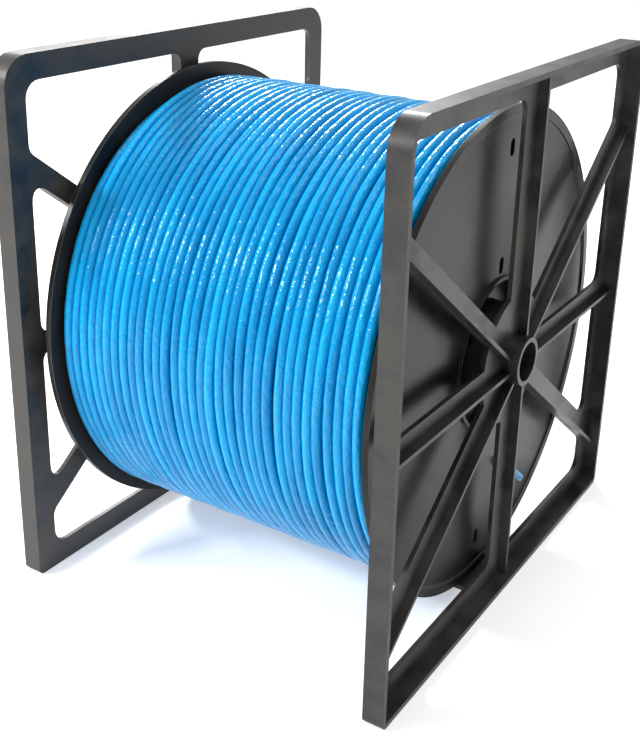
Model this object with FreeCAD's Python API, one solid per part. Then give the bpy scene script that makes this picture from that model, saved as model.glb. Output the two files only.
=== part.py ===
import FreeCAD, Part
import math
import os

from FreeCAD import Vector

# A cable reel carried between two moulded side frames. X is the drum's axis, Z is up and
# the floor is at z = 0, below the middle of the stand. All sizes are in millimetres.

# Stand as a whole
stand_width = 330.0
frame_depth = 400.0
frame_height = 410.0
hub_height = 195.0

# Side frame: a web at the drum side with a lip round its outside
frame_thickness = 16.0
web_thickness = 3.5
lip_thickness = 4.0
rail_width = 19.0
top_corner_radius = 22.0
foot_corner_radius = 5.0
window_corner_radius = 13.0
spoke_fillet_radius = 9.0
fillet_share = 0.45

# Spokes of the side frame, each a channel with a rib along both edges
upright_spoke_width = 23.0
level_spoke_width = 17.0
upper_spoke_width = 19.0
lower_spoke_width = 21.0
upper_spoke_rise = 37.0
lower_spoke_fall = 36.5
rib_thickness = 2.4
rib_recess = 6.0

# Hub of the side frame
hub_disc_radius = 50.0
hub_bore_radius = 15.0
hub_wall = 4.0

# Plate that joins the two frames at the floor, with dovetail tongues at its ends
plate_depth = 54.0
plate_thickness = 4.0
tongue_depth = 15.0
tongue_flare = 2.0
tongue_length = 7.0
tongue_spacing = 30.0
tongue_clearance = 0.15

# Bearing collar on each frame, with sprung hooks that hold the drum
collar_radius = 46.0
collar_disc_thickness = 2.8
spigot_radius = 40.0
spigot_wall = 3.2
guide_wall = 3.0
hook_height = 2.2
hook_length = 4.5
hook_taper = 0.6
finger_count = 6
finger_slot_width = 5.0
finger_slot_length = 22.0

# Drum flanges, which turn just above the floor plate
drum_floor_gap = 3.5
flange_sheet = 3.2
flange_gap = 12.0
rim_band_width = 7.5
rim_band_rise = 1.5
rim_step_slope = 1.0
mouth_radius = 57.0
mouth_wall = 3.0
mouth_rise = 2.0
recess_depth = 13.0
sleeve_wall = 3.6
sleeve_length = 6.0
bearing_clearance = 0.35
hook_clearance = 1.0
seat_ring_wall = 3.0
seat_ring_length = 8.0
seat_clearance = 0.15

# Small oval holes through the flange sheet, by the drum's mouth and by its rim
oval_width = 7.0
oval_length = 13.0
inner_oval_radius = 69.0
outer_oval_radius = 157.0
oval_angles = (88.0, 268.0)

# Slot for the cable's inner end
cable_slot_radius = 106.0
cable_slot_angle = -76.0
cable_slot_heading = -39.0
cable_slot_margin = 1.4
cable_end_run = 44.0

# Barrel and cable
barrel_radius = 100.0
barrel_wall = 3.0
cable_diameter = 7.8
winding_reveal = 9.0
winding_turns = 24
winding_side_gap = 0.4
layer_clearance = 0.3
winding_sides = 4
cable_end_sides = 8

# Places that follow from the sizes above
outer_plane = stand_width / 2
inner_plane = outer_plane - frame_thickness
web_plane = inner_plane + web_thickness
rib_plane = outer_plane - rib_recess
hub_radius = hub_bore_radius + hub_wall
disc_plane = inner_plane - flange_gap
disc_back = disc_plane - flange_sheet
recess_plane = disc_plane - recess_depth + flange_sheet
recess_back = recess_plane - flange_sheet
sleeve_end = recess_back - sleeve_length
hook_plane = sleeve_end - hook_clearance
spigot_end = hook_plane - hook_length
flange_radius = hub_height - plate_thickness - drum_floor_gap
winding_radius = flange_radius - winding_reveal
cable_radius = cable_diameter / 2
core_end = disc_back - winding_side_gap
core_radius = winding_radius - cable_diameter - layer_clearance
hub = Vector(0, 0, hub_height)


def unit(degrees):
    """Unit vector in the frame's plane, from +Y towards +Z."""
    turn = math.radians(degrees)
    return Vector(0, math.cos(turn), math.sin(turn))


def left_of(direction):
    """The direction a quarter turn anticlockwise in the frame's plane."""
    return Vector(0, -direction.z, direction.y)


def outline(corners, radii):
    """Edges through the corners, each rounded by its radius or as much as its sides allow."""
    ends = []
    edges = []
    for index, corner in enumerate(corners):
        back = corners[index - 1] - corner
        ahead = corners[(index + 1) % len(corners)] - corner
        room = fillet_share * min(back.Length, ahead.Length)
        back.normalize()
        ahead.normalize()
        half = back.getAngle(ahead) / 2
        radius = min(radii[index], room * math.tan(half))
        if radius == 0:
            ends.append((corner, corner))
            continue
        middle = (back + ahead).normalize()
        centre = corner + middle * (radius / math.sin(half))
        reach = radius / math.tan(half)
        start = corner + back * reach
        end = corner + ahead * reach
        ends.append((start, end))
        edges.append(Part.Arc(start, centre - middle * radius, end).toShape())
    for index in range(len(corners)):
        start = ends[index - 1][1]
        end = ends[index][0]
        edges.append(Part.LineSegment(start, end).toShape())
    return edges


def prism(edges, low, high):
    """Solid between two planes across X, from a closed outline at x = 0."""
    face = Part.Face(Part.Wire(Part.sortEdges(edges)[0]))
    face.translate(Vector(low, 0, 0))
    return face.extrude(Vector(high - low, 0, 0))


def turned(profile):
    """Solid of revolution about the drum's axis, from corners given as (x, radius)."""
    corners = [hub + Vector(x, 0, radius) for x, radius in profile]
    face = Part.Face(Part.makePolygon(corners + corners[:1]))
    return face.revolve(hub, Vector(1, 0, 0), 360)


def mirrored(shape):
    """The same moulding turned half a turn about the upright axis, for the other side."""
    copy = shape.copy()
    copy.rotate(Vector(0, 0, 0), Vector(0, 0, 1), 180)
    return copy


def rectangle(inset):
    """Corners of the frame's outline moved inwards, anticlockwise from the lower front."""
    side = frame_depth / 2 - inset
    foot = inset
    top = frame_height - inset
    return [Vector(0, -side, foot), Vector(0, side, foot), Vector(0, side, top), Vector(0, -side, top)]


def frame_outline(inset):
    """The frame's outline, or a line inside it at an even distance."""
    foot_radius = max(foot_corner_radius - inset, 0.5)
    top_radius = max(top_corner_radius - inset, 0.5)
    return outline(rectangle(inset), [foot_radius, foot_radius, top_radius, top_radius])


def spokes():
    """Direction in degrees and width of each spoke, anticlockwise from +Y."""
    return [
        (0.0, level_spoke_width),
        (upper_spoke_rise, upper_spoke_width),
        (90.0, upright_spoke_width),
        (180.0 - upper_spoke_rise, upper_spoke_width),
        (180.0, level_spoke_width),
        (180.0 + lower_spoke_fall, lower_spoke_width),
        (270.0, upright_spoke_width),
        (360.0 - lower_spoke_fall, lower_spoke_width),
    ]


def reach_to_border(start, direction, inset):
    """Where a line from the hub meets the rectangle at this inset."""
    low, _, high, _ = rectangle(inset)
    steps = []
    if direction.y > 1e-9:
        steps.append((high.y - start.y) / direction.y)
    if direction.y < -1e-9:
        steps.append((low.y - start.y) / direction.y)
    if direction.z > 1e-9:
        steps.append((high.z - start.z) / direction.z)
    if direction.z < -1e-9:
        steps.append((low.z - start.z) / direction.z)
    return start + direction * min(steps)


def edges_crossing(first, second, inward):
    """Where the facing edges of two neighbouring spokes meet, moved into both by inward."""
    a = unit(first[0])
    b = unit(second[0])
    start_a = hub + left_of(a) * (first[1] / 2 - inward)
    start_b = hub - left_of(b) * (second[1] / 2 - inward)
    turn = a.y * b.z - a.z * b.y
    offset = start_b - start_a
    along = (offset.y * b.z - offset.z * b.y) / turn
    return start_a + a * along


def turn_of(place):
    """Direction of a place as seen from the hub, in degrees from 0 to 360."""
    return math.degrees(math.atan2(place.z - hub.z, place.y)) % 360


def window(first, second):
    """Outline of the opening between two neighbouring spokes."""
    a = unit(first[0])
    b = unit(second[0])
    start_a = hub + left_of(a) * (first[1] / 2)
    start_b = hub - left_of(b) * (second[1] / 2)
    border_a = reach_to_border(start_a, a, rail_width)
    border_b = reach_to_border(start_b, b, rail_width)
    corners = [border_a]
    radii = [spoke_fillet_radius]
    for corner in rectangle(rail_width):
        ahead = (turn_of(corner) - turn_of(border_a)) % 360
        if 0 < ahead < (turn_of(border_b) - turn_of(border_a)) % 360:
            corners.append(corner)
            radii.append(window_corner_radius)
    corners.append(border_b)
    radii.append(spoke_fillet_radius)
    apex = edges_crossing(first, second, 0.0)
    disc = prism([Part.makeCircle(hub_disc_radius, hub, Vector(1, 0, 0))], inner_plane, outer_plane)
    opening = prism(outline([apex] + corners, [0] + radii), inner_plane, outer_plane)
    return opening.cut(disc)


def rib_pair(first, second):
    """The two ribs that stand along the facing edges of two neighbouring spokes."""
    walls = []
    for inward in (rib_thickness, 0.0):
        apex = edges_crossing(first, second, inward)
        far = frame_depth + frame_height
        tips = [apex + unit(first[0]) * far, apex + unit(second[0]) * far]
        walls.append(prism(outline([apex] + tips, [0, 0, 0]), inner_plane, rib_plane))
    return walls[0].cut(walls[1])


def side_frame():
    """One moulded frame, at the +X end of the drum."""
    body = prism(frame_outline(0.0), inner_plane, outer_plane)
    inside = prism(frame_outline(lip_thickness), web_plane, outer_plane)
    blank = body.copy()
    frame = body.cut(inside)
    neighbours = spokes()
    for index, second in enumerate(neighbours):
        first = neighbours[index - 1]
        frame = frame.fuse(rib_pair(first, second).common(blank))
    frame = frame.fuse(Part.makeCylinder(hub_radius, frame_thickness, hub + Vector(inner_plane, 0, 0), Vector(1, 0, 0)))
    for index, second in enumerate(neighbours):
        first = neighbours[index - 1]
        frame = frame.cut(window(first, second))
    bore = Part.makeCylinder(hub_bore_radius, frame_thickness, hub + Vector(inner_plane, 0, 0), Vector(1, 0, 0))
    frame = frame.cut(bore)
    for side in (-1, 1):
        frame = frame.cut(tongue(side * tongue_spacing / 2, tongue_clearance))
    return frame.removeSplitter()


def tongue(middle, clearance):
    """Dovetail at the end of the plate, or the notch for it when given a clearance."""
    root = tongue_depth / 2 + clearance
    tip = root + tongue_flare
    end = inner_plane + tongue_length + clearance
    corners = [
        Vector(inner_plane, middle - root, 0),
        Vector(end, middle - tip, 0),
        Vector(end, middle + tip, 0),
        Vector(inner_plane, middle + root, 0),
    ]
    face = Part.Face(Part.makePolygon(corners + corners[:1]))
    return face.extrude(Vector(0, 0, plate_thickness))


def cross_plate():
    """Floor plate from frame to frame."""
    length = 2 * inner_plane
    plate = Part.makeBox(length, plate_depth, plate_thickness, Vector(-inner_plane, -plate_depth / 2, 0))
    for side in (-1, 1):
        dovetail = tongue(side * tongue_spacing / 2, 0.0)
        plate = plate.fuse(dovetail).fuse(mirrored(dovetail))
    return plate.removeSplitter()


def bearing_collar():
    """Collar on the inner face of a frame: a spigot for the drum round a guide for a spindle."""
    spigot_inside = spigot_radius - spigot_wall
    guide_radius = hub_bore_radius + guide_wall
    disc_face = inner_plane - collar_disc_thickness
    collar = turned([
        (inner_plane, hub_bore_radius),
        (inner_plane, collar_radius),
        (disc_face, collar_radius),
        (disc_face, spigot_radius),
        (hook_plane, spigot_radius),
        (hook_plane, spigot_radius + hook_height),
        (spigot_end, spigot_radius - hook_taper),
        (spigot_end, spigot_inside),
        (disc_face, spigot_inside),
        (disc_face, guide_radius),
        (spigot_end, guide_radius),
        (spigot_end, hub_bore_radius),
    ])
    slot_inside = (spigot_inside + guide_radius) / 2
    slot = Part.makeBox(
        finger_slot_length,
        finger_slot_width,
        spigot_radius + hook_height,
        hub + Vector(spigot_end, -finger_slot_width / 2, slot_inside),
    )
    for index in range(finger_count):
        cutter = slot.copy()
        cutter.rotate(hub, Vector(1, 0, 0), index * 360 / finger_count)
        collar = collar.cut(cutter)
    return collar


def obround(middle, heading, length, width):
    """Long round-ended cutter through the flange sheet."""
    along = unit(heading) * ((length - width) / 2)
    across = left_of(unit(heading)) * (width / 2)
    tip = unit(heading) * (width / 2)
    edges = [
        Part.LineSegment(middle - along - across, middle + along - across).toShape(),
        Part.Arc(middle + along - across, middle + along + tip, middle + along + across).toShape(),
        Part.LineSegment(middle + along + across, middle - along + across).toShape(),
        Part.Arc(middle - along + across, middle - along - tip, middle - along - across).toShape(),
    ]
    return prism(edges, disc_back - flange_sheet, disc_plane + flange_sheet)


def cable_exit():
    """Where the cable's inner end comes out of the flange sheet."""
    return hub + unit(cable_slot_angle) * cable_slot_radius


def cable_bend_radius():
    """Radius of the bend from the drum's side to the flange's outer face."""
    return disc_plane + layer_clearance + cable_radius - core_end


def flange():
    """Drum flange at the +X end: a disc with a rim band, a sunk mouth and a bearing sleeve."""
    bore = spigot_radius + bearing_clearance
    sleeve_outside = bore + sleeve_wall
    mouth_outside = mouth_radius + mouth_wall
    rim_inside = flange_radius - rim_band_width
    seat_outside = barrel_radius - barrel_wall - seat_clearance
    seat_inside = seat_outside - seat_ring_wall
    disc = turned([
        (recess_plane, bore),
        (recess_plane, mouth_radius),
        (disc_plane + mouth_rise, mouth_radius),
        (disc_plane + mouth_rise, mouth_outside),
        (disc_plane, mouth_outside),
        (disc_plane, rim_inside - rim_step_slope),
        (disc_plane + rim_band_rise, rim_inside),
        (disc_plane + rim_band_rise, flange_radius),
        (disc_back, flange_radius),
        (disc_back, seat_outside),
        (disc_back - seat_ring_length, seat_outside),
        (disc_back - seat_ring_length, seat_inside),
        (disc_back, seat_inside),
        (disc_back, mouth_outside),
        (recess_back, mouth_outside),
        (recess_back, sleeve_outside),
        (sleeve_end, sleeve_outside),
        (sleeve_end, bore),
    ])
    for angle in oval_angles:
        for radius in (inner_oval_radius, outer_oval_radius):
            disc = disc.cut(obround(hub + unit(angle) * radius, angle, oval_length, oval_width))
    slot_width = cable_diameter + 2 * cable_slot_margin
    slot_length = slot_width + cable_bend_radius()
    slot_middle = cable_exit() + unit(cable_slot_heading) * (cable_bend_radius() / 2)
    return disc.cut(obround(slot_middle, cable_slot_heading, slot_length, slot_width))


def barrel():
    """Tube between the flanges that the cable is wound on."""
    inside = barrel_radius - barrel_wall
    return turned([
        (-disc_back, inside),
        (-disc_back, barrel_radius),
        (disc_back, barrel_radius),
        (disc_back, inside),
    ])


def cable_core():
    """The lower layers of cable as one plain body."""
    return turned([
        (-core_end, barrel_radius),
        (-core_end, core_radius),
        (core_end, core_radius),
        (core_end, barrel_radius),
    ])


def tube(edges, start, direction, outward, sides):
    """Solid cable along a path, with flat sides inside its round section, a ridge outward."""
    across = direction.cross(outward).normalize()
    ridges = []
    for index in range(sides):
        turn = 2 * math.pi * index / sides
        ridges.append(start + (outward * math.cos(turn) + across * math.sin(turn)) * cable_radius)
    pipe = Part.BRepOffsetAPI.MakePipeShell(Part.Wire(edges))
    pipe.add(Part.makePolygon(ridges + ridges[:1]))
    pipe.build()
    pipe.makeSolid()
    return pipe.shape()


def arc_in_corner(start, corner, end):
    """Arc tangent to both legs of a corner whose legs are equally long."""
    middle = (start + end) / 2
    half_chord = (end - start).Length / 2
    height = (corner - middle).Length
    rise = half_chord * math.tan(math.atan2(height, half_chord) / 2)
    return Part.Arc(start, middle + (corner - middle) * (rise / height), end).toShape()


def biarc(start, start_heading, end, end_heading):
    """Two arcs that leave one place along its heading and reach the other along its own."""
    chord = end - start
    both = start_heading + end_heading
    square = both.dot(both) - 4
    linear = -2 * chord.dot(both)
    constant = chord.dot(chord)
    leg = (-linear - math.sqrt(linear * linear - 4 * square * constant)) / (2 * square)
    first = start + start_heading * leg
    last = end - end_heading * leg
    joint = (first + last) / 2
    return [arc_in_corner(start, first, joint), arc_in_corner(joint, last, end)]


def winding_place(turns):
    """Place on the middle line of the outer layer, after so many turns from the left flange."""
    x = winding_start() + turns * winding_pitch()
    return hub + Vector(x, 0, 0) + unit(360 * turns) * winding_line_radius()


def winding_heading(turns):
    """Direction of the cable there."""
    round_drum = left_of(unit(360 * turns)) * (2 * math.pi * winding_line_radius())
    return (round_drum + Vector(winding_pitch(), 0, 0)).normalize()


def winding_line_radius():
    return winding_radius - cable_radius


def winding_start():
    return cable_radius + winding_side_gap - core_end


def winding_pitch():
    return -2 * winding_start() / winding_turns


def winding_edges():
    """Path of the outer layer: a straight end, two biarcs a turn, and a straight end."""
    halves = 2 * winding_turns
    first = winding_place(0)
    last = winding_place(winding_turns)
    edges = [Part.LineSegment(first - winding_heading(0) * cable_diameter, first).toShape()]
    for half in range(halves):
        start = half / 2
        end = (half + 1) / 2
        edges += biarc(winding_place(start), winding_heading(start), winding_place(end), winding_heading(end))
    edges.append(Part.LineSegment(last, last + winding_heading(winding_turns) * cable_diameter).toShape())
    return edges


def least_gap(edges):
    """Least distance between the surfaces of neighbouring turns, measured on points."""
    points = []
    along = 0.0
    step = cable_diameter / 2
    for edge in edges:
        count = max(2, math.ceil(edge.Length / step))
        for place in edge.discretize(count)[:-1]:
            points.append((along, place))
            along += edge.Length / (count - 1)
    turn = 2 * math.pi * winding_line_radius()
    least = turn
    for index, (here, place) in enumerate(points):
        for there, other in points[index + 1:]:
            if there - here > 1.5 * turn:
                break
            if there - here > turn / 2:
                least = min(least, (other - place).Length)
    return least - cable_diameter


def cable_winding():
    """The outer layer of cable as one unbroken tube."""
    edges = winding_edges()
    heading = winding_heading(0)
    start = winding_place(0) - heading * cable_diameter
    print("winding: pitch %.2f mm, least gap between turns %.2f mm" % (winding_pitch(), least_gap(edges)))
    return tube(edges, start, heading, unit(0), winding_sides)


def cable_inner_end():
    """The cable's inner end, bent out through the flange and laid along its outer face."""
    bend = cable_bend_radius()
    start = cable_exit() + Vector(core_end, 0, 0)
    corner = start + Vector(bend, 0, 0)
    heading = unit(cable_slot_heading)
    laid = corner + heading * bend
    end = laid + heading * cable_end_run
    edges = [arc_in_corner(start, corner, laid), Part.LineSegment(laid, end).toShape()]
    return tube(edges, start, Vector(1, 0, 0), heading, cable_end_sides)


def main():
    os.makedirs("parts", exist_ok=True)
    right_frame = side_frame()
    right_collar = bearing_collar()
    right_flange = flange()
    nodes = {
        "right_side_frame": right_frame,
        "left_side_frame": mirrored(right_frame),
        "base_cross_plate": cross_plate(),
        "right_bearing_collar": right_collar,
        "left_bearing_collar": mirrored(right_collar),
        "right_flange": right_flange,
        "left_flange": mirrored(right_flange),
        "barrel": barrel(),
        "cable_core": cable_core(),
        "cable_winding": cable_winding(),
        "cable_inner_end": cable_inner_end(),
    }
    for name, shape in nodes.items():
        shape.exportStep("parts/%s.step" % name)
        print(name, shape.isValid(), len(shape.Solids), round(shape.Volume))


main()
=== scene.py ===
import bpy
import bmesh
import math
from mathutils import Matrix, Vector, noise


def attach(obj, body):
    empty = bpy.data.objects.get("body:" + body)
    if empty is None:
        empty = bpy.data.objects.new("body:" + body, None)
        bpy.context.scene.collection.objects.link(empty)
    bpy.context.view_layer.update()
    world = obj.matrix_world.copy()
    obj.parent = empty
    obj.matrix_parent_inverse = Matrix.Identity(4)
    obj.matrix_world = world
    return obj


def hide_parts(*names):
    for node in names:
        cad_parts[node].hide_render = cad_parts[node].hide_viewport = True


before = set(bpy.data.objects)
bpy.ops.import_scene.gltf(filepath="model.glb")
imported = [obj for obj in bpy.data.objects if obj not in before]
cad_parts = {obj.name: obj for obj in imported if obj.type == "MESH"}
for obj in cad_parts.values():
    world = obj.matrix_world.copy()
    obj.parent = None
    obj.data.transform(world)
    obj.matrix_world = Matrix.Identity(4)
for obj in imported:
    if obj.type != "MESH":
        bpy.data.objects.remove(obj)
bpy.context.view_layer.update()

# VIEWPOINT
# A still camera at about the height of the drum's top, to the right of the reel, looking
# down along the winding at the outer face of the near frame.

viewpoint = bpy.data.objects.new("viewpoint", bpy.data.cameras.new("viewpoint"))
bpy.context.scene.collection.objects.link(viewpoint)
view_yaw = math.radians(32.223)
view_pitch = math.radians(20.545)
view_roll = math.radians(1.336)
picture_height = 743
viewpoint.matrix_world = (
    Matrix.Translation((0.448403, -0.739857, 0.539165))
    @ Matrix.Rotation(view_yaw, 4, "Z")
    @ Matrix.Rotation(math.pi / 2 - view_pitch, 4, "X")
    @ Matrix.Rotation(view_roll, 4, "Z")
)
viewpoint.data.lens = 1147.627 / picture_height * viewpoint.data.sensor_width
viewpoint.data.shift_y = (290.0 - picture_height / 2) / picture_height
viewpoint.data.clip_start = 0.01
viewpoint.data.clip_end = 50
bpy.context.scene.camera = viewpoint


# SIDE FRAMES
# Two square frames in black recycled polyethylene, each moulded in one piece: a lip round a
# thin web, eight spokes with a rib along one edge each, and a bored hub. The left frame is
# the same moulding turned round.

frame_inside = 0.149
frame_web = 0.1525
frame_rib = 0.1592
frame_outside = 0.165
frame_half_depth = 0.200
frame_top = 0.410
frame_lip = 0.004
frame_rail = 0.019
foot_radius = 0.005
top_radius = 0.022
window_radius = 0.013
spoke_end_radius = 0.009
hub_height = 0.195
hub_bore = 0.015
hub_wall = 0.0036
hub_web = 0.050
rib_wall = 0.0030
rib_step = 0.0003
rib_root = 0.1494
weld_distance = 0.000002
flat_angle = math.radians(0.5)
broken_edge = 0.0005
least_corner = 0.0006
overshoot = 0.005
notch_overshoot = 0.002

# The blocks that a frame is cut from stand apart by a hair, so that no two of their faces
# lie in one plane.
hair = 0.00002
level_spoke = 0.0145
upper_spoke = 0.0160
lower_spoke = 0.0185
upright_spoke = 0.0225
notch_spacing = 0.030
notch_half_root = 0.00765
notch_flare = 0.002
notch_end = 0.15615
plate_top = 0.004

# Direction in degrees, width, and the side of the spoke that its rib stands on.
spokes = (
    (0.0, level_spoke, -1),
    (37.0, upper_spoke, -1),
    (90.0, upright_spoke, -1),
    (143.0, upper_spoke, 1),
    (180.0, level_spoke, 1),
    (216.5, lower_spoke, 1),
    (270.0, upright_spoke, 1),
    (323.5, lower_spoke, -1),
)
hub_centre = Vector((0, 0, hub_height))


class Shade:
    """A socket of a material's node tree. Arithmetic on it adds Math nodes."""

    def __init__(self, tree, socket=None):
        self.tree = tree
        self.socket = socket

    def node(self, kind, settings, inputs, output=0):
        """Adds a node, sets it up, fills its sockets and gives one of its outputs."""
        new = self.tree.nodes.new(kind)
        for key, value in settings.items():
            setattr(new, key, value)
        for key, value in inputs.items():
            if isinstance(value, Shade):
                self.tree.links.new(value.socket, new.inputs[key])
            else:
                new.inputs[key].default_value = value
        return Shade(self.tree, new.outputs[output])

    def math(self, operation, first, second):
        return self.node("ShaderNodeMath", {"operation": operation}, {0: first, 1: second})

    def __add__(self, other):
        return self.math("ADD", self, other)

    __radd__ = __add__

    def __mul__(self, other):
        return self.math("MULTIPLY", self, other)

    __rmul__ = __mul__

    def between(self, low, high):
        """0 below low, 1 above high and a smooth step in between."""
        return self.node(
            "ShaderNodeMapRange",
            {"interpolation_type": "SMOOTHSTEP"},
            {"Value": self, "From Min": low, "From Max": high},
        )

    def blend(self, low, high):
        """One colour where this is 0, and the other where it is 1."""
        colour = [(*c, 1.0) if isinstance(c, tuple) else c for c in (low, high)]
        return self.node(
            "ShaderNodeMix", {"data_type": "RGBA"}, {0: self, 6: colour[0], 7: colour[1]}, 2
        )

    def grain(self, place, scale, detail=4.0, roughness=0.55):
        """Noise of so many lumps to the metre."""
        sockets = {"Vector": place, "Scale": scale, "Detail": detail, "Roughness": roughness}
        return self.node("ShaderNodeTexNoise", {}, sockets)


def new_material(name):
    """An empty material and a start for its nodes."""
    material = bpy.data.materials.new(name)
    material.use_nodes = True
    material.node_tree.nodes.clear()
    return material, Shade(material.node_tree)


def close_material(start, surface, normal):
    """Puts the finished surface into the material's output."""
    shader = start.node("ShaderNodeBsdfPrincipled", {}, {**surface, "Normal": normal})
    output = start.tree.nodes.new("ShaderNodeOutputMaterial")
    start.tree.links.new(shader.socket, output.inputs["Surface"])


def stretched(start, place, scale):
    """Coordinates squeezed along the axes, for streaks."""
    return start.node("ShaderNodeMapping", {}, {"Vector": place, "Scale": scale})


def put_in_scene(bm, name, material, body, *nodes):
    """Makes a finished object of a bmesh, riding on a body in place of CAD nodes."""
    mesh = bpy.data.meshes.new(name)
    bm.to_mesh(mesh)
    bm.free()
    piece = bpy.data.objects.new(name, mesh)
    bpy.context.scene.collection.objects.link(piece)
    mesh.materials.append(material)
    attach(piece, body)
    if nodes:
        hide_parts(*nodes)
    return piece


def break_edges(bm, edge_radius, corner=math.radians(28)):
    """Rounds a moulding's edges and marks them for a pale edge colour, partly wear and partly painted
    highlight.
    """
    bmesh.ops.remove_doubles(bm, verts=bm.verts, dist=weld_distance)
    bmesh.ops.dissolve_limit(bm, angle_limit=flat_angle, verts=bm.verts, edges=bm.edges)
    # Bevel faces get a pale colour later: partly rubbed wear, partly a painted highlight where edges catch
    # light.
    wear_and_highlight = bm.faces.layers.float.new("edge_wear_and_highlight")
    sharp = [e for e in bm.edges if len(e.link_faces) == 2 and e.calc_face_angle(0.0) > corner]
    rounded = bmesh.ops.bevel(
        bm, geom=sharp, offset=edge_radius, offset_type="OFFSET", affect="EDGES",
        segments=2, profile=0.5, material=-1, clamp_overlap=True,
    )
    for face in rounded["faces"]:
        face[wear_and_highlight] = 1.0
    for face in bm.faces:
        face.smooth = True
    return bm


def moulding(node, edge_radius):
    """A welded copy of a CAD node's mesh with its edges broken."""
    bm = bmesh.new()
    bm.from_mesh(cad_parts[node].data)
    return break_edges(bm, edge_radius)


def finish_moulding(bm, name, material, body, *nodes):
    """Puts a moulding in the scene with its flat faces kept flat."""
    piece = put_in_scene(bm, name, material, body, *nodes)
    piece.data.set_sharp_from_angle(angle=math.radians(32))
    level = piece.modifiers.new("level", "WEIGHTED_NORMAL")
    level.keep_sharp = True
    return piece


def frame_plastic():
    """Satin black polyethylene with brown grey flow marks, and pale edges that are partly rubbed wear and
    partly a painted highlight.
    """
    material, start = new_material("frame_plastic")
    place = start.node("ShaderNodeTexCoord", {}, {}, "Object")
    flow = start.grain(stretched(start, place, (1.0, 1.0, 1.6)), 30.0, 5.0)
    cloud = start.grain(place, 9.0, 3.0)
    dust = start.grain(place, 300.0, 3.0, 0.7)
    wear_and_highlight = start.node("ShaderNodeAttribute", {"attribute_name": "edge_wear_and_highlight"}, {}, "Fac")
    patches = (flow * 0.55 + cloud * 0.45).between(0.40, 0.62)
    body = patches.blend((0.009, 0.009, 0.010), (0.040, 0.036, 0.031))
    speckled = (dust.between(0.55, 0.75) * 0.30).blend(body, (0.075, 0.071, 0.065))
    # Pale edge colour: partly rubbed wear, partly a painted highlight where the rounded edges catch light.
    rubbed_and_highlit = (wear_and_highlight * (0.15 + 0.6 * flow.between(0.42, 0.66))).blend(speckled, (0.13, 0.125, 0.115))
    relief = dust * 0.4 + flow * 0.6
    bump = start.node("ShaderNodeBump", {}, {"Strength": 0.3, "Distance": 0.0006, "Height": relief})
    surface = {"Base Color": rubbed_and_highlit, "Roughness": 0.36 + 0.22 * patches}
    close_material(start, surface, bump)
    return material


def unit(degrees):
    """Direction in the frame's plane, from the rear towards the top."""
    return Vector((0, math.cos(math.radians(degrees)), math.sin(math.radians(degrees))))


def left_of(direction):
    """The direction a quarter turn further round."""
    return Vector((0, -direction.z, direction.y))


def border_sheet(inset):
    """A flat face inside the frame's outline, at x = 0."""
    bm = bmesh.new()
    bmesh.ops.create_grid(bm, x_segments=1, y_segments=1, size=1.0)
    depth = frame_half_depth - inset
    height = frame_top / 2 - inset
    lie = Matrix.Translation((0, 0, frame_top / 2)) @ Matrix.Rotation(math.pi / 2, 4, "Y")
    bmesh.ops.transform(bm, matrix=lie @ Matrix.Diagonal((height, depth, 1, 1)), verts=bm.verts)
    return bm


def trim(bm, place, outward):
    """Cuts a flat sheet off beyond a plane."""
    sheet = bm.verts[:] + bm.edges[:] + bm.faces[:]
    bmesh.ops.bisect_plane(bm, geom=sheet, plane_co=place, plane_no=outward, clear_outer=True)


def thicken(bm, low, high):
    """Turns a flat sheet at x = 0 into a solid between two planes across X."""
    bmesh.ops.translate(bm, verts=bm.verts, vec=(low, 0, 0))
    raised = bmesh.ops.extrude_face_region(bm, geom=bm.faces[:])["geom"]
    top = [v for v in raised if isinstance(v, bmesh.types.BMVert)]
    bmesh.ops.translate(bm, verts=top, vec=(high - low, 0, 0))
    bmesh.ops.recalc_face_normals(bm, faces=bm.faces)


def round_corners(bm, radius_at):
    """Rounds the edges that run along X, each by the radius that is right for its place."""
    standing = [e for e in bm.edges if abs(e.verts[0].co.x - e.verts[1].co.x) > 1e-6]
    for edge in standing:
        radius = radius_at(edge.verts[0].co)
        if radius > 0:
            reach = radius * math.tan(edge.calc_face_angle() / 2)
            bmesh.ops.bevel(
                bm, geom=[edge], offset=reach, offset_type="OFFSET", affect="EDGES",
                segments=6, profile=0.5, material=-1, clamp_overlap=True,
            )


def outline_radius(inset):
    """Corner radius of the frame's outline at an inset: small at the feet, large on top."""
    return lambda co: max((foot_radius if co.z < frame_top / 2 else top_radius) - inset, least_corner)


def frame_block(inset, low, high):
    """A block with the frame's outline, or a line inside it at an even distance."""
    bm = border_sheet(inset)
    thicken(bm, low, high)
    round_corners(bm, outline_radius(inset))
    return bm


def window_block(first, second):
    """What is cut out between two neighbouring spokes."""
    bm = border_sheet(frame_rail)
    for (degrees, width, _), side in ((first, 1), (second, -1)):
        across = left_of(unit(degrees)) * side
        trim(bm, hub_centre + across * width / 2, -across)
    thicken(bm, frame_inside - overshoot, frame_outside + overshoot)
    edge_y = frame_half_depth - frame_rail
    edge_z = (frame_rail, frame_top - frame_rail)

    def radius_at(co):
        """None by the hub, a large one in the frame's corners and a small one at a spoke's end."""
        if (co - hub_centre - Vector((co.x, 0, 0))).length < hub_web:
            return 0.0
        off_side = abs(abs(co.y) - edge_y)
        off_rail = min(abs(co.z - z) for z in edge_z)
        return window_radius if max(off_side, off_rail) < weld_distance else spoke_end_radius

    round_corners(bm, radius_at)
    return bm


def rib_block(number, degrees, width, side):
    """The rib of one spoke, from the hub into the lip, a hair higher than the one before."""
    along = unit(degrees)
    bm = border_sheet(frame_lip / 2)
    for offset, sign in ((width / 2 - rib_step, 1), (width / 2 - rib_step - rib_wall, -1)):
        across = left_of(along) * side
        trim(bm, hub_centre + across * offset, across * sign)
    trim(bm, hub_centre + along * (hub_bore + hub_wall / 2), -along)
    thicken(bm, rib_root + number * hair, frame_rib + number * hair)
    return bm


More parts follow.
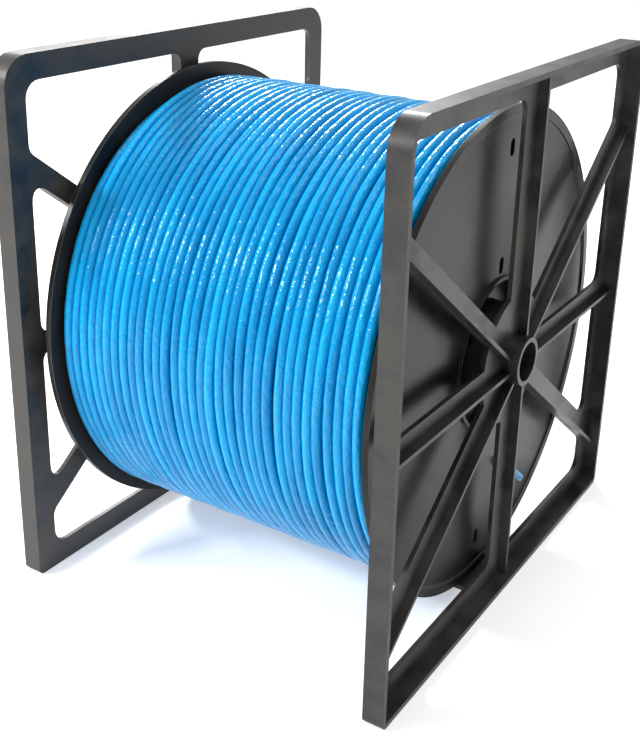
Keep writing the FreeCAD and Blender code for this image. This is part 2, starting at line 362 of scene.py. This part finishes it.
def round_block(radius, low, high, sides=64):
    """A plain cylinder along X at the hub."""
    bm = bmesh.new()
    bmesh.ops.create_cone(
        bm, cap_ends=True, segments=sides, radius1=radius, radius2=radius, depth=high - low
    )
    middle = hub_centre + Vector(((low + high) / 2, 0, 0))
    lie = Matrix.Translation(middle) @ Matrix.Rotation(math.pi / 2, 4, "Y")
    bmesh.ops.transform(bm, matrix=lie, verts=bm.verts)
    return bm


def notch_block(middle):
    """Dovetail notch for a tongue of the floor plate."""
    bm = bmesh.new()
    bmesh.ops.create_grid(bm, x_segments=1, y_segments=1, size=1.0)
    for vert in bm.verts:
        far = vert.co.x > 0
        x = notch_end if far else frame_inside - notch_overshoot
        half = notch_half_root + notch_flare if far else notch_half_root
        vert.co = (x, middle + math.copysign(half, vert.co.y), -notch_overshoot)
    raised = bmesh.ops.extrude_face_region(bm, geom=bm.faces[:])["geom"]
    top = [v for v in raised if isinstance(v, bmesh.types.BMVert)]
    bmesh.ops.translate(bm, verts=top, vec=(0, 0, plate_top + hair + notch_overshoot))
    bmesh.ops.recalc_face_normals(bm, faces=bm.faces)
    return bm


def joined(blocks):
    """Several blocks in one mesh object, for a single cut or union."""
    whole = bmesh.new()
    for block in blocks:
        part = bpy.data.meshes.new("block")
        block.to_mesh(part)
        block.free()
        whole.from_mesh(part)
        bpy.data.meshes.remove(part)
    mesh = bpy.data.meshes.new("blocks")
    whole.to_mesh(mesh)
    whole.free()
    return bpy.data.objects.new("blocks", mesh)


def carved(block, steps):
    """Cuts other blocks out of the first or joins them to it, and gives the result."""
    work = joined([block])
    bpy.context.scene.collection.objects.link(work)
    tools = []
    for operation, blocks in steps:
        tool = joined(blocks)
        bpy.context.scene.collection.objects.link(tool)
        change = work.modifiers.new(operation.lower(), "BOOLEAN")
        change.operation = operation
        change.solver = "EXACT"
        change.object = tool
        tools.append(tool)
    bpy.context.view_layer.update()
    bm = bmesh.new()
    bm.from_object(work, bpy.context.evaluated_depsgraph_get())
    for used in [work] + tools:
        mesh = used.data
        bpy.data.objects.remove(used)
        bpy.data.meshes.remove(mesh)
    return bm


def side_frame():
    """One moulded frame, at the right end of the drum."""
    windows = [window_block(spokes[index - 1], second) for index, second in enumerate(spokes)]
    ribs = [rib_block(number, *spoke) for number, spoke in enumerate(spokes)]
    hub = round_block(hub_bore + hub_wall, rib_root, frame_outside)
    disc = round_block(hub_web, frame_inside + hair, frame_web - hair, 96)
    bore = round_block(hub_bore, frame_inside - overshoot, frame_outside + overshoot)
    notches = [notch_block(side * notch_spacing / 2) for side in (-1, 1)]
    pocket = frame_block(frame_lip, frame_web, frame_outside + overshoot)
    steps = [("DIFFERENCE", [pocket]), ("DIFFERENCE", windows), ("UNION", [disc])]
    steps += [("UNION", [hub])] + [("UNION", [rib]) for rib in ribs]
    steps += [("DIFFERENCE", [bore] + notches)]
    return carved(frame_block(0.0, frame_inside, frame_outside), steps)


black_frame = frame_plastic()
moulded_frame = break_edges(side_frame(), broken_edge)
other_frame = moulded_frame.copy()
turned_round = Matrix.Rotation(math.pi, 3, "Z")
bmesh.ops.rotate(other_frame, verts=other_frame.verts, cent=(0, 0, 0), matrix=turned_round)
finish_moulding(moulded_frame, "right_frame", black_frame, "stand", "right_side_frame")
finish_moulding(other_frame, "left_frame", black_frame, "stand", "left_side_frame")


# FLOOR PLATE
# A thin moulded strip that joins the feet of both frames. Dovetail tongues at its ends
# slide into notches under the bottom rails.

shape = moulding("base_cross_plate", 0.0004)
finish_moulding(shape, "floor_plate", black_frame, "stand", "base_cross_plate")


# BEARING COLLARS
# Slotted spigots on the frames' inner faces, in harder and smoother black plastic. The
# drum turns on them, and the hooks at their tips keep it from sliding off.

def hard_plastic(name, dark, light, rough, gleam):
    """Semi gloss moulded plastic with faint swirls from the mould, and pale edges that are partly rubbed
    wear and partly a painted highlight.
    """
    material, start = new_material(name)
    place = start.node("ShaderNodeTexCoord", {}, {}, "Object")
    cloud = start.grain(place, 9.0, 3.0)
    fine = start.grain(place, 420.0, 2.0)
    wear_and_highlight = start.node("ShaderNodeAttribute", {"attribute_name": "edge_wear_and_highlight"}, {}, "Fac")
    patches = cloud.between(0.38, 0.66)
    body = patches.blend(dark, light)
    # Pale edge colour: partly rubbed wear, partly a painted highlight where the rounded edges catch light.
    rubbed_and_highlit = (wear_and_highlight * (0.3 + 0.4 * cloud)).blend(body, (0.10, 0.095, 0.09))
    bump = start.node("ShaderNodeBump", {}, {"Strength": 0.2, "Distance": 0.0003, "Height": fine})
    surface = {"Base Color": rubbed_and_highlit, "Roughness": rough + 0.1 * patches, "Specular IOR Level": gleam}
    close_material(start, surface, bump)
    return material


collar_plastic = hard_plastic("collar_plastic", (0.012, 0.012, 0.013), (0.024, 0.023, 0.022), 0.38, 0.4)
for side in ("right", "left"):
    shape = moulding(side + "_bearing_collar", 0.0003)
    finish_moulding(shape, side + "_collar", collar_plastic, "stand", side + "_bearing_collar")


# DRUM
# Two polystyrene flanges with a raised rim band, a sunk mouth and a seat ring each, pushed
# on the ends of a plain tube that the cable is wound on.

drum_plastic = hard_plastic("drum_plastic", (0.007, 0.007, 0.007), (0.021, 0.019, 0.016), 0.25, 0.2)
for side in ("right", "left"):
    shape = moulding(side + "_flange", 0.0004)
    finish_moulding(shape, side + "_drum_flange", drum_plastic, "drum", side + "_flange")
finish_moulding(moulding("barrel", 0.0003), "drum_barrel", drum_plastic, "drum", "barrel")


# CABLE
# Some 33 turns of blue data cable lie side by side in the outer layer, over layers of the
# opposite hand. The PVC jacket is glossy and lumpy, as it follows the pairs inside it.

cable_width = 0.0076
outer_radius = 0.1785
drum_end = 0.1330
barrel_radius = 0.100
layer_rise = 0.0071
turns = 33
lump = 0.00022
sway = 0.0030
rise = 0.0008
dive = 0.16
squeeze = 0.972
settling_rounds = 60


def jacket():
    """Glossy blue PVC with lumps along the cable and slow changes of tone."""
    material, start = new_material("cable_jacket")
    place = start.node("ShaderNodeUVMap", {"uv_map": "along_cable"}, {})
    long_lumps = start.grain(stretched(start, place, (80.0, 150.0, 1.0)), 1.0, 2.0)
    short_lumps = start.grain(stretched(start, place, (230.0, 260.0, 1.0)), 1.0, 2.0)
    tone = start.grain(stretched(start, place, (7.0, 20.0, 1.0)), 1.0, 2.0)
    body = tone.between(0.35, 0.65).blend((0.0, 0.225, 0.51), (0.0, 0.335, 0.69))
    relief = long_lumps * 0.5 + short_lumps * 0.5
    bump = start.node("ShaderNodeBump", {}, {"Strength": 1.0, "Distance": 0.0019, "Height": relief})
    surface = {"Base Color": body, "Roughness": 0.13 + 0.12 * tone, "Specular IOR Level": 0.3}
    close_material(start, surface, bump)
    return material


def slow_noise(x, y, z):
    """Smooth random value from -1 to 1."""
    return noise.noise(Vector((x, y, z)))


def settled(wanted, least):
    """Places along the drum, pushed apart until no turn sits inside its neighbour."""
    places = list(wanted)
    last = len(places) - 1
    for _ in range(settling_rounds):
        for k in range(last):
            short = least - (places[k + 1] - places[k])
            if short > 0:
                places[k] -= short / 2 if k > 0 else 0.0
                places[k + 1] += short / 2 if k + 1 < last else 0.0
    return places


def wind(radius, hand, sides, steps, seed, unrest):
    """One layer of cable: a turn made by a screw spin, copied along and then settled."""
    bm = bmesh.new()
    ring = bmesh.ops.create_circle(bm, cap_ends=False, segments=sides, radius=cable_width / 2)
    upright = Matrix.Rotation(math.pi / 2, 4, "X") @ Matrix.Rotation(-math.pi / 2, 4, "Z")
    bmesh.ops.transform(bm, matrix=upright, verts=ring["verts"])
    end = drum_end - cable_width / 2
    pitch = 2 * end / turns
    bmesh.ops.translate(bm, verts=bm.verts, vec=(-end, 0, hub_height + radius))
    bmesh.ops.spin(
        bm, geom=bm.verts[:] + bm.edges[:], cent=hub_centre, axis=(1, 0, 0),
        dvec=(pitch / steps, 0, 0), angle=2 * math.pi * hand, steps=steps,
        use_merge=False, use_duplicate=False,
    )
    step_of = bm.verts.layers.int.new("step")
    side_of = bm.verts.layers.int.new("side")
    for index, vert in enumerate(bm.verts):
        vert[step_of] = index // sides
        vert[side_of] = index % sides
    first_turn = bm.verts[:] + bm.edges[:] + bm.faces[:]
    for number in range(1, turns):
        copy = bmesh.ops.duplicate(bm, geom=first_turn)["geom"]
        moved = [v for v in copy if isinstance(v, bmesh.types.BMVert)]
        bmesh.ops.translate(bm, verts=moved, vec=(number * pitch, 0, 0))
        for vert in moved:
            vert[step_of] += number * steps
    bmesh.ops.remove_doubles(bm, verts=bm.verts, dist=1e-6)
    shift = {}
    lift = {}
    for j in range(steps):
        turn = 2 * math.pi * j / steps
        c, s = math.cos(turn), math.sin(turn)
        count = turns + 1 if j == 0 else turns
        wanted = []
        for k in range(count):
            along = k + j / steps
            loose = unrest * slow_noise(1.1 * c + seed, 1.1 * s, 0.55 * along)
            swayed = sway * slow_noise(0.7 * c, 0.7 * s + seed, 0.05 * along)
            held = 1 - abs(2 * along / turns - 1) ** 6
            wanted.append(-end + pitch * along + (loose + swayed) * held)
        for k, place in enumerate(settled(wanted, squeeze * cable_width)):
            along = k + j / steps
            shift[k * steps + j] = place + end - pitch * along
            risen = rise * slow_noise(1.6 * c + seed + 9, 1.6 * s, 0.9 * along)
            ends = min(along, turns - along) / dive
            sunk = 0.0 if ends >= 1 else 1 - ends * ends * (3 - 2 * ends)
            lift[k * steps + j] = risen - layer_rise * sunk
    for vert in bm.verts:
        out = Vector((0, vert.co.y, vert.co.z - hub_height)).normalized()
        round_x = math.cos(2 * math.pi * vert[side_of] / sides)
        round_y = math.sin(2 * math.pi * vert[side_of] / sides)
        lumpy = slow_noise(0.42 * vert[step_of] + seed, 1.2 * round_x, 1.2 * round_y)
        swell = 1 + lump / cable_width * 2 * lumpy
        centre_x = -end + pitch * vert[step_of] / steps
        middle = hub_centre + out * radius + Vector((centre_x, 0, 0))
        vert.co = middle + (vert.co - middle) * swell
        vert.co += Vector((shift[vert[step_of]], 0, 0)) + out * lift[vert[step_of]]
    unroll = bm.loops.layers.uv.new("along_cable")
    for face in bm.faces:
        numbers = [loop.vert[side_of] for loop in face.loops]
        wraps = max(numbers) - min(numbers) > 1
        for loop, number in zip(face.loops, numbers):
            number += sides if wraps and number == 0 else 0
            along = loop.vert[step_of] * 2 * math.pi * radius / steps
            loop[unroll].uv = (along, math.pi * cable_width * number / sides)
        face.smooth = True
    bmesh.ops.recalc_face_normals(bm, faces=bm.faces)
    return bm


def end_rings():
    """The ends of the deeper layers, which show through the flanges' holes."""
    bm = bmesh.new()
    radius = outer_radius - cable_width / 2 - 2 * layer_rise
    while radius > barrel_radius + cable_width / 2:
        for end in (-1, 1):
            loop = bmesh.ops.create_circle(bm, cap_ends=False, segments=8, radius=cable_width / 2)["verts"]
            place = hub_centre + Vector((end * (drum_end - cable_width / 2), 0, radius))
            upright = Matrix.Translation(place) @ Matrix.Rotation(math.pi / 2, 4, "X")
            bmesh.ops.transform(bm, matrix=upright, verts=loop)
            edges = list({e for v in loop for e in v.link_edges})
            bmesh.ops.spin(
                bm, geom=loop + edges, cent=hub_centre, axis=(1, 0, 0), angle=2 * math.pi,
                steps=72, use_merge=True, use_duplicate=False,
            )
        radius -= layer_rise
    bmesh.ops.recalc_face_normals(bm, faces=bm.faces)
    unroll = bm.loops.layers.uv.new("along_cable")
    for face in bm.faces:
        face.smooth = True
        for loop in face.loops:
            spot = loop.vert.co - hub_centre
            loop[unroll].uv = (0.15 * math.atan2(spot.z, spot.y), math.hypot(spot.y, spot.z))
    return bm


blue_jacket = jacket()
outer_line = outer_radius - cable_width / 2
layer = wind(outer_line, 1, 10, 240, 3.0, 0.0026)
put_in_scene(layer, "outer_cable_layer", blue_jacket, "drum", "cable_winding")
layer = wind(outer_line - layer_rise, -1, 8, 90, 8.0, 0.0008)
put_in_scene(layer, "under_cable_layer", blue_jacket, "drum", "cable_core")
put_in_scene(end_rings(), "deep_cable_layers", blue_jacket, "drum", "cable_core")


# CABLE END
# The cable's inner end, bent out through the slot of the right flange and laid along its
# face. It was cut square, so the jacket's wall, the foil and the eight wires show.

end_exit_angle = -76.0
end_exit_radius = 0.106
end_heading = -39.0
end_root = 0.1334
end_bend = 0.0078
end_run = 0.044
jacket_wall = 0.0009
wire_radius = 0.00055
wire_circle = 0.0018
wire_reach = 0.0016
wires = 8
run_pieces = 8
pattern_radius = 0.004


def end_start():
    """Where the cable's inner end leaves the drum."""
    return hub_centre + unit(end_exit_angle) * end_exit_radius + Vector((end_root, 0, 0))


def cut_end():
    """The bent end of the jacket: a circle spun through the bend, then drawn out straight."""
    heading = unit(end_heading)
    axis = Vector((1, 0, 0)).cross(heading)
    start = end_start()
    bm = bmesh.new()
    ring = bmesh.ops.create_circle(bm, cap_ends=True, segments=20, radius=cable_width / 2)["verts"]
    lie = Matrix.Translation(start) @ Matrix.Rotation(math.pi / 2, 4, "Y")
    bmesh.ops.transform(bm, matrix=lie, verts=ring)
    tip = bmesh.ops.spin(
        bm, geom=bm.faces[:], cent=start + heading * end_bend, axis=axis,
        angle=math.pi / 2, steps=8, use_merge=False, use_duplicate=False,
    )["geom_last"]
    for _ in range(run_pieces):
        faces = [f for f in tip if isinstance(f, bmesh.types.BMFace)]
        tip = bmesh.ops.extrude_face_region(bm, geom=faces)["geom"]
        bmesh.ops.delete(bm, geom=faces, context="FACES_ONLY")
        moved = [v for v in tip if isinstance(v, bmesh.types.BMVert)]
        bmesh.ops.translate(bm, verts=moved, vec=heading * end_run / run_pieces)
    cut = [f for f in tip if isinstance(f, bmesh.types.BMFace)]
    bmesh.ops.inset_region(bm, faces=cut, thickness=jacket_wall, use_even_offset=True)
    bmesh.ops.translate(bm, verts=cut[0].verts, vec=-heading * wire_reach)
    bmesh.ops.recalc_face_normals(bm, faces=bm.faces)
    unroll = bm.loops.layers.uv.new("along_cable")
    for face in bm.faces:
        face.smooth = len(face.verts) == 4
        for loop in face.loops:
            spot = loop.vert.co - start
            turn = math.atan2(spot.x, spot.dot(left_of(heading)))
            loop[unroll].uv = (spot.dot(heading) + spot.x, pattern_radius * turn)
    return bm


def wire_ends():
    """Eight short wires in the cut end, standing a little out of the foil."""
    heading = unit(end_heading)
    end = end_start() + Vector((end_bend, 0, 0)) + heading * (end_bend + end_run)
    along_cable = heading.to_track_quat("Z", "Y").to_matrix().to_4x4()
    bm = bmesh.new()
    for number in range(wires):
        turn = 2 * math.pi * number / wires
        off = (Vector((1, 0, 0)) * math.cos(turn) + left_of(heading) * math.sin(turn)) * wire_circle
        bar = bmesh.ops.create_cone(
            bm, cap_ends=True, segments=10, radius1=wire_radius, radius2=wire_radius,
            depth=2 * wire_reach,
        )["verts"]
        lie = Matrix.Translation(end + off - heading * wire_reach * 0.4) @ along_cable
        bmesh.ops.transform(bm, matrix=lie, verts=bar)
    bmesh.ops.bevel(
        bm, geom=[e for e in bm.edges if len(e.link_faces) == 2 and e.calc_face_angle() > 1.2],
        offset=0.0001, offset_type="OFFSET", affect="EDGES", segments=1, profile=0.5, material=-1,
    )
    for face in bm.faces:
        face.smooth = len(face.verts) == 4
    return bm


def wire_plastic():
    """Pale insulation with the cut copper's warm tone in patches."""
    material, start = new_material("wire_insulation")
    place = start.node("ShaderNodeTexCoord", {}, {}, "Object")
    patches = start.grain(place, 900.0, 2.0).between(0.4, 0.6)
    body = patches.blend((0.62, 0.58, 0.50), (0.50, 0.25, 0.12))
    fine = start.grain(place, 2000.0)
    bump = start.node("ShaderNodeBump", {}, {"Strength": 0.2, "Distance": 0.0002, "Height": fine})
    close_material(start, {"Base Color": body, "Roughness": 0.4}, bump)
    return material


put_in_scene(cut_end(), "cable_end", blue_jacket, "drum", "cable_inner_end")
put_in_scene(wire_ends(), "cable_end_wires", wire_plastic(), "drum")


# ROOM
# A pale floor that glows a little, an even white sky, and three soft lamps: two strips whose
# gloss shows in two bands on the cable, and one overhead.

floor_mesh = bpy.data.meshes.new("floor")
bm = bmesh.new()
bmesh.ops.create_grid(bm, x_segments=1, y_segments=1, size=6.0)
bm.to_mesh(floor_mesh)
bm.free()
floor = bpy.data.objects.new("floor", floor_mesh)
bpy.context.scene.collection.objects.link(floor)
floor_paint, start = new_material("floor_paint")
close_material(
    start,
    {
        "Base Color": (0.88, 0.88, 0.88, 1.0),
        "Roughness": 0.9,
        "Emission Color": (1.0, 1.0, 1.0, 1.0),
        "Emission Strength": 0.42,
    },
    start.node("ShaderNodeNewGeometry", {}, {}, "Normal"),
)
floor_mesh.materials.append(floor_paint)

world = bpy.data.worlds.new("studio")
bpy.context.scene.world = world
world.use_nodes = True
world.node_tree.nodes["Background"].inputs["Color"].default_value = (1.0, 1.0, 1.0, 1.0)
world.node_tree.nodes["Background"].inputs["Strength"].default_value = 0.65
bpy.context.scene.view_settings.view_transform = "Standard"


def soft_light(name, place, target, size, power):
    """A rectangular lamp turned towards a place."""
    lamp = bpy.data.lights.new(name, "AREA")
    lamp.shape = "RECTANGLE"
    lamp.size, lamp.size_y = size
    lamp.energy = power
    holder = bpy.data.objects.new(name, lamp)
    bpy.context.scene.collection.objects.link(holder)
    holder.location = place
    away = Vector(target) - Vector(place)
    holder.rotation_euler = away.to_track_quat("-Z", "Y").to_euler()


drum_middle = (0.0, 0.0, 0.2)
soft_light("front_left_strip", (-1.16, -1.26, 1.20), drum_middle, (0.6, 0.16), 34.0)
soft_light("rear_left_strip", (-1.10, 1.24, 1.32), drum_middle, (0.8, 0.26), 38.0)
soft_light("overhead", (0.2, -0.1, 2.2), drum_middle, (1.2, 1.2), 14.0)
